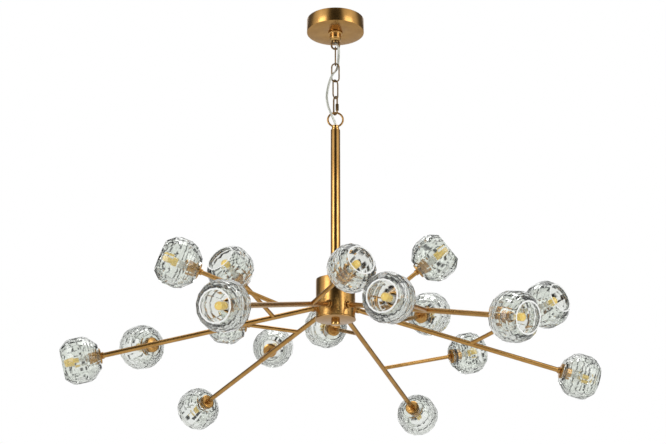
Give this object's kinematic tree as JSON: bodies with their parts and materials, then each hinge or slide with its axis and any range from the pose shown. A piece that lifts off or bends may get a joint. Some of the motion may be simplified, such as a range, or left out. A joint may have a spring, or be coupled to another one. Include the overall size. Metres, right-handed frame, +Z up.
{
  "type": "multi arm chandelier",
  "caption": "Hanging light: ceiling canopy, short chain and slim stem over a brass hub whose branched arms end in cut-crystal cup shades with capsule lamps.",
  "frame": {"origin": "centre of the ceiling face, where the bracket meets the ceiling; everything hangs below it", "axes": "+Z up, -Y towards the front, +X to the right seen from the front"},
  "size_m": [1.0518, 0.9948, 0.7966],
  "materials": {
    "satin_brass": "satin, brushed round the turned parts and along the tubes",
    "polished_brass": "polished",
    "antique_brass": "dark antique, burnished on the outer curves",
    "zinc_steel": "bright zinc",
    "crystal": "thick clear crystal, cut in facets and polished",
    "lamp": "ceramic holder and frosted capsule lamp, unlit",
    "clear_lead": "clear sheath over twisted tinned conductors"
  },
  "bodies": {
    "ceiling": {"ceiling_bracket": "zinc_steel", "bracket_locknut": "zinc_steel", "canopy": "satin_brass", "canopy_nipple": "zinc_steel", "canopy_collar": "polished_brass", "canopy_loop": "antique_brass", "power_cord": "clear_lead"},
    "chain_link_1": {"chain_link_1": "antique_brass"},
    "chain_link_2": {"chain_link_2": "antique_brass"},
    "chain_link_3": {"chain_link_3": "antique_brass"},
    "quick_link": {"quick_link": "antique_brass"},
    "quick_link_sleeve": {"quick_link_sleeve": "antique_brass"},
    "fixture": {"stem_ring": "antique_brass", "stem_tube": "satin_brass", "hub_shell": "satin_brass", "hub_plate": "satin_brass", "hub_tie_rod": "zinc_steel", "finial_nut": "polished_brass", "arm_1": "satin_brass", "arm_2": "satin_brass", "arm_3": "satin_brass", "arm_4": "satin_brass", "arm_5": "satin_brass", "arm_6": "satin_brass", "shade_1_main": "crystal", "shade_1_near": "crystal", "shade_1_far": "crystal", "shade_2_main": "crystal", "shade_2_near": "crystal", "shade_2_far": "crystal", "shade_3_main": "crystal", "shade_3_near": "crystal", "shade_3_far": "crystal", "shade_4_main": "crystal", "shade_4_near": "crystal", "shade_4_far": "crystal", "shade_5_main": "crystal", "shade_5_near": "crystal", "shade_5_far": "crystal", "shade_6_main": "crystal", "shade_6_near": "crystal", "shade_6_far": "crystal", "lamp_1_main": "lamp", "lamp_1_near": "lamp", "lamp_1_far": "lamp", "lamp_2_main": "lamp", "lamp_2_near": "lamp", "lamp_2_far": "lamp", "lamp_3_main": "lamp", "lamp_3_near": "lamp", "lamp_3_far": "lamp", "lamp_4_main": "lamp", "lamp_4_near": "lamp", "lamp_4_far": "lamp", "lamp_5_main": "lamp", "lamp_5_near": "lamp", "lamp_5_far": "lamp", "lamp_6_main": "lamp", "lamp_6_near": "lamp", "lamp_6_far": "lamp"}
  },
  "joints": [
    {"name": "link_1_swing", "type": "hinge", "parent": "ceiling", "child": "chain_link_1", "pos_m": [0, 0, -0.0665], "axis": [1, 0, 0], "range_deg": [-25, 25], "deforming": ["power_cord"]},
    {"name": "link_2_swing", "type": "hinge", "parent": "chain_link_1", "child": "chain_link_2", "pos_m": [0, 0, -0.1037], "axis": [0, 1, 0], "range_deg": [-25, 25]},
    {"name": "link_3_swing", "type": "hinge", "parent": "chain_link_2", "child": "chain_link_3", "pos_m": [0, 0, -0.1414], "axis": [1, 0, 0], "range_deg": [-25, 25]},
    {"name": "quick_link_swing", "type": "hinge", "parent": "chain_link_3", "child": "quick_link", "pos_m": [0, 0, -0.1791], "axis": [0.6428, 0.766, 0], "range_deg": [-25, 25]},
    {"name": "sleeve_travel", "type": "slide", "parent": "quick_link", "child": "quick_link_sleeve", "axis": [0, 0, 1], "range_m": [0, 0.01]},
    {"name": "fixture_swing", "type": "hinge", "parent": "quick_link", "child": "fixture", "pos_m": [0, 0, -0.21555], "axis": [0.5736, -0.8192, 0], "range_deg": [-18, 18]}
  ]
}
